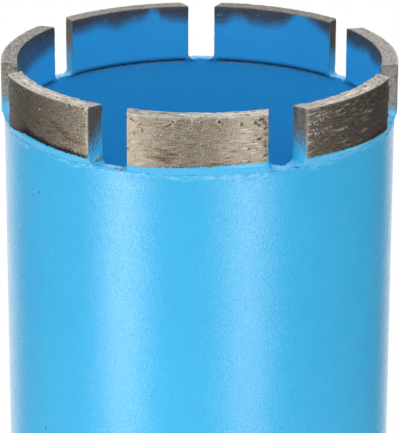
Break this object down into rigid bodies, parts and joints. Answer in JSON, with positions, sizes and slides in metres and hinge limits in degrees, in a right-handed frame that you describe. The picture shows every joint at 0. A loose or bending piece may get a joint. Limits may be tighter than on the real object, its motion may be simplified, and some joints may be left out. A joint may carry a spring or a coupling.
{
  "type": "diamond core bit",
  "caption": "Wet core drill bit: blue painted steel tube with a crown of arc-shaped diamond segments at one end and an end plate with a female threaded hub at the other.",
  "frame": {"origin": "centre of the hub's end face, which is also the bottom centre of the object's box", "axes": "+Z along the bit's axis from the drill's spindle to the segments, -Y towards the middle of segment_1"},
  "size_m": [0.072, 0.072, 0.344],
  "materials": {
    "blue_paint": "light blue satin paint, sprayed, with a fine grain",
    "segment_metal": "sintered bronze-grey metal bond, ground outside, pitted by diamond grit"
  },
  "bodies": {
    "root": {"barrel_tube": "blue_paint", "end_plate": "blue_paint", "threaded_hub": "blue_paint", "segment_1": "segment_metal", "segment_2": "segment_metal", "segment_3": "segment_metal", "segment_4": "segment_metal", "segment_5": "segment_metal", "segment_6": "segment_metal", "segment_7": "segment_metal"}
  },
  "joints": []
}
